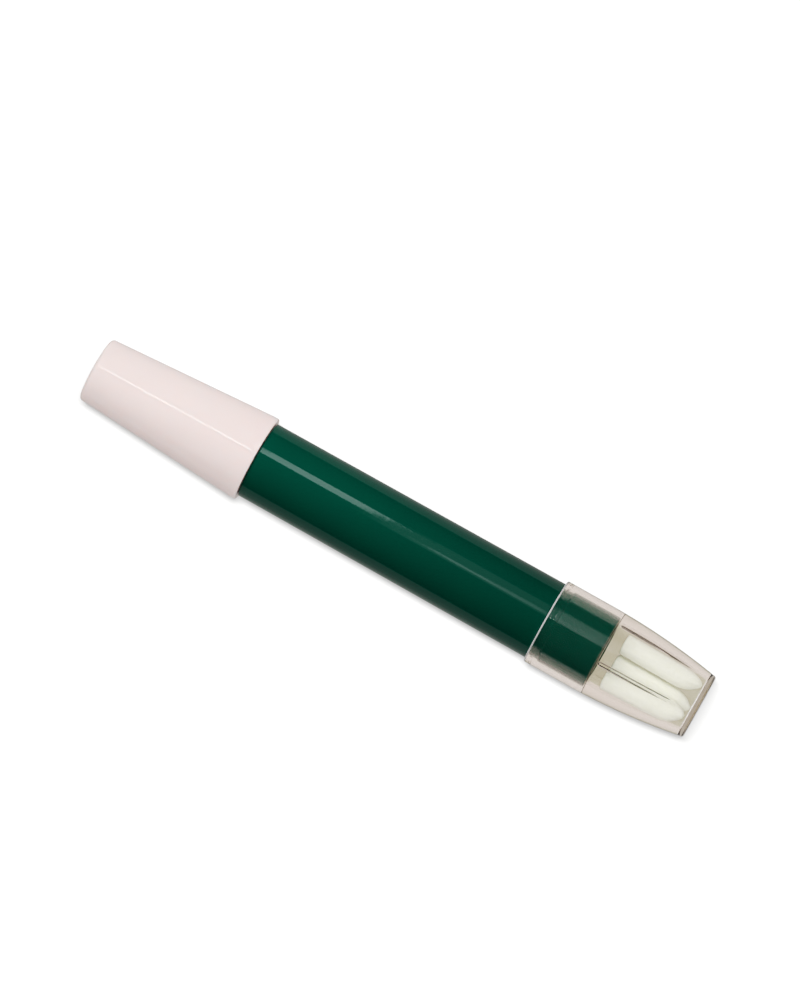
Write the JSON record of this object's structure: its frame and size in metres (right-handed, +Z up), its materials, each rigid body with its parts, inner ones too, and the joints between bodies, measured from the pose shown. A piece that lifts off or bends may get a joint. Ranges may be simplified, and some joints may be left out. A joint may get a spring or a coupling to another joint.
{
  "type": "nail polish corrector pen",
  "caption": "Felt-nib corrector pen with a tapered push-on cap, a straight barrel and a clear tail cap that stores spare nibs.",
  "frame": {"origin": "on the ground under the middle of the closed pen, which lies on the rims of its two caps", "axes": "+X along the pen towards the clear cap, +Z up, +Y across"},
  "size_m": [0.1352, 0.0178, 0.0178],
  "materials": {
    "cap_pink": "gloss moulded polypropylene, pale pink",
    "liner": "natural polyethylene",
    "felt": "bonded polyester felt",
    "holder": "moulded white polypropylene",
    "barrel_green": "gloss moulded polypropylene, dark green",
    "fibre": "bonded polyester fibre",
    "film": "thin clear film",
    "plug_green": "moulded polypropylene, dark green",
    "clear": "clear styrene with a faint pink tint"
  },
  "bodies": {
    "pen_barrel": {"barrel": "barrel_green", "nib_holder": "holder", "reservoir": "fibre", "reservoir_wrap": "film", "tail_plug": "plug_green"},
    "pink_cap": {"cap": "cap_pink", "cap_liner": "liner"},
    "working_nib": {"nib": "felt"},
    "clear_cap": {"end_cap": "clear"},
    "loose_nib_1": {"spare_nib_1": "felt"},
    "loose_nib_2": {"spare_nib_2": "felt"},
    "loose_nib_3": {"spare_nib_3": "felt"}
  },
  "joints": [
    {"name": "cap_pull", "type": "slide", "parent": "pen_barrel", "child": "pink_cap", "axis": [-1, 0, 0], "range_m": [0, 0.03]},
    {"name": "nib_pull", "type": "slide", "parent": "pen_barrel", "child": "working_nib", "axis": [-1, 0, 0], "range_m": [0, 0.0114]},
    {"name": "end_cap_pull", "type": "slide", "parent": "pen_barrel", "child": "clear_cap", "axis": [1, 0, 0], "range_m": [0, 0.025]},
    {"name": "spare_nib_1_slide", "type": "slide", "parent": "clear_cap", "child": "loose_nib_1", "axis": [-1, 0, 0], "range_m": [0, 0.0023]},
    {"name": "spare_nib_2_slide", "type": "slide", "parent": "clear_cap", "child": "loose_nib_2", "axis": [-1, 0, 0], "range_m": [0, 0.0023]},
    {"name": "spare_nib_3_slide", "type": "slide", "parent": "clear_cap", "child": "loose_nib_3", "axis": [-1, 0, 0], "range_m": [0, 0.0023]}
  ]
}
